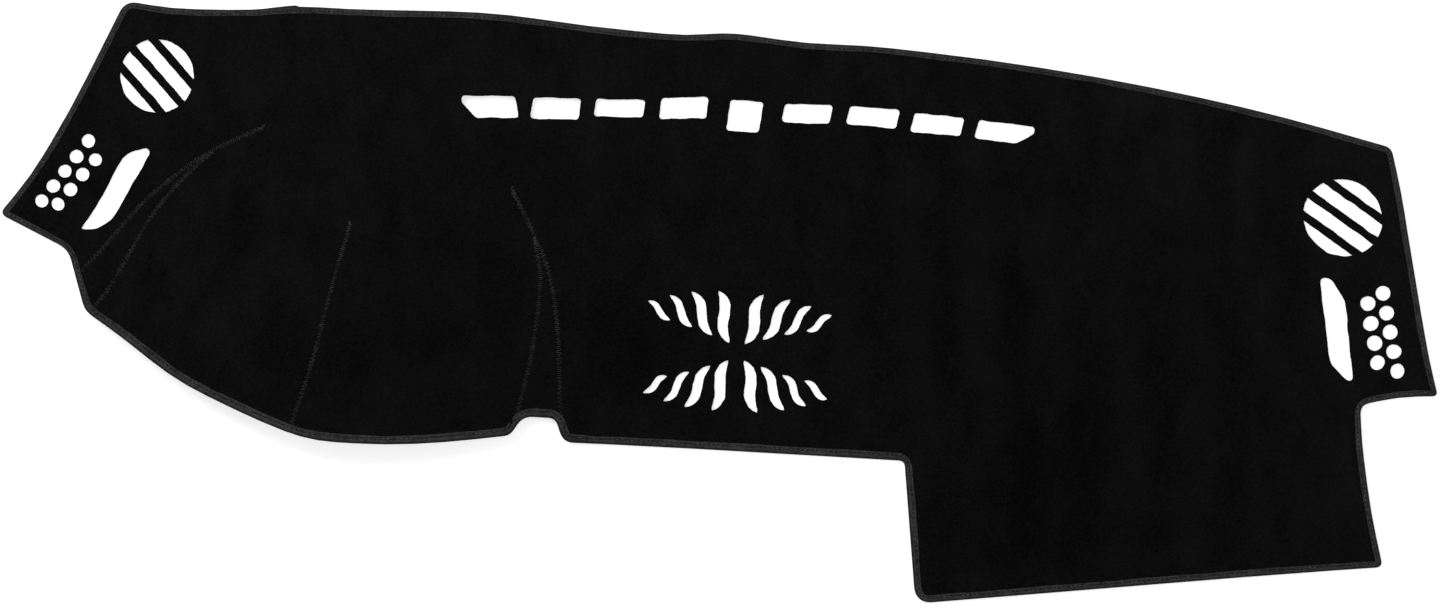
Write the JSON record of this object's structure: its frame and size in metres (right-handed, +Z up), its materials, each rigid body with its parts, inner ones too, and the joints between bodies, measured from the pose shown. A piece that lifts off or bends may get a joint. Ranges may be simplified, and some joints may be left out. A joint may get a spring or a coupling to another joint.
{
  "type": "dashboard cover mat",
  "caption": "Shaped short-pile fabric mat that covers a car's dashboard, with bound edges, a sewn arch for the instrument hood, and openings for vents and loudspeakers.",
  "frame": {"origin": "middle of the outer box in plan, on the surface the mat lies on", "axes": "+X along the dashboard from the driver's side (left-hand drive) to the passenger's side, +Y towards the windscreen, +Z up out of the pile"},
  "size_m": [1.4346, 0.6, 0.057],
  "materials": {
    "pile_fabric": "short dense pile",
    "edge_tape": "woven tape",
    "thread": "twisted sewing thread"
  },
  "bodies": {
    "root": {"mat_panel": "pile_fabric", "hood_gusset_driver": "pile_fabric", "hood_gusset_console": "pile_fabric", "edge_binding": "edge_tape", "edge_stitching": "thread", "seam_driver_outer": "thread", "seam_driver_inner": "thread", "seam_dart": "thread", "seam_console_outer": "thread", "seam_console_inner": "thread"}
  },
  "joints": []
}
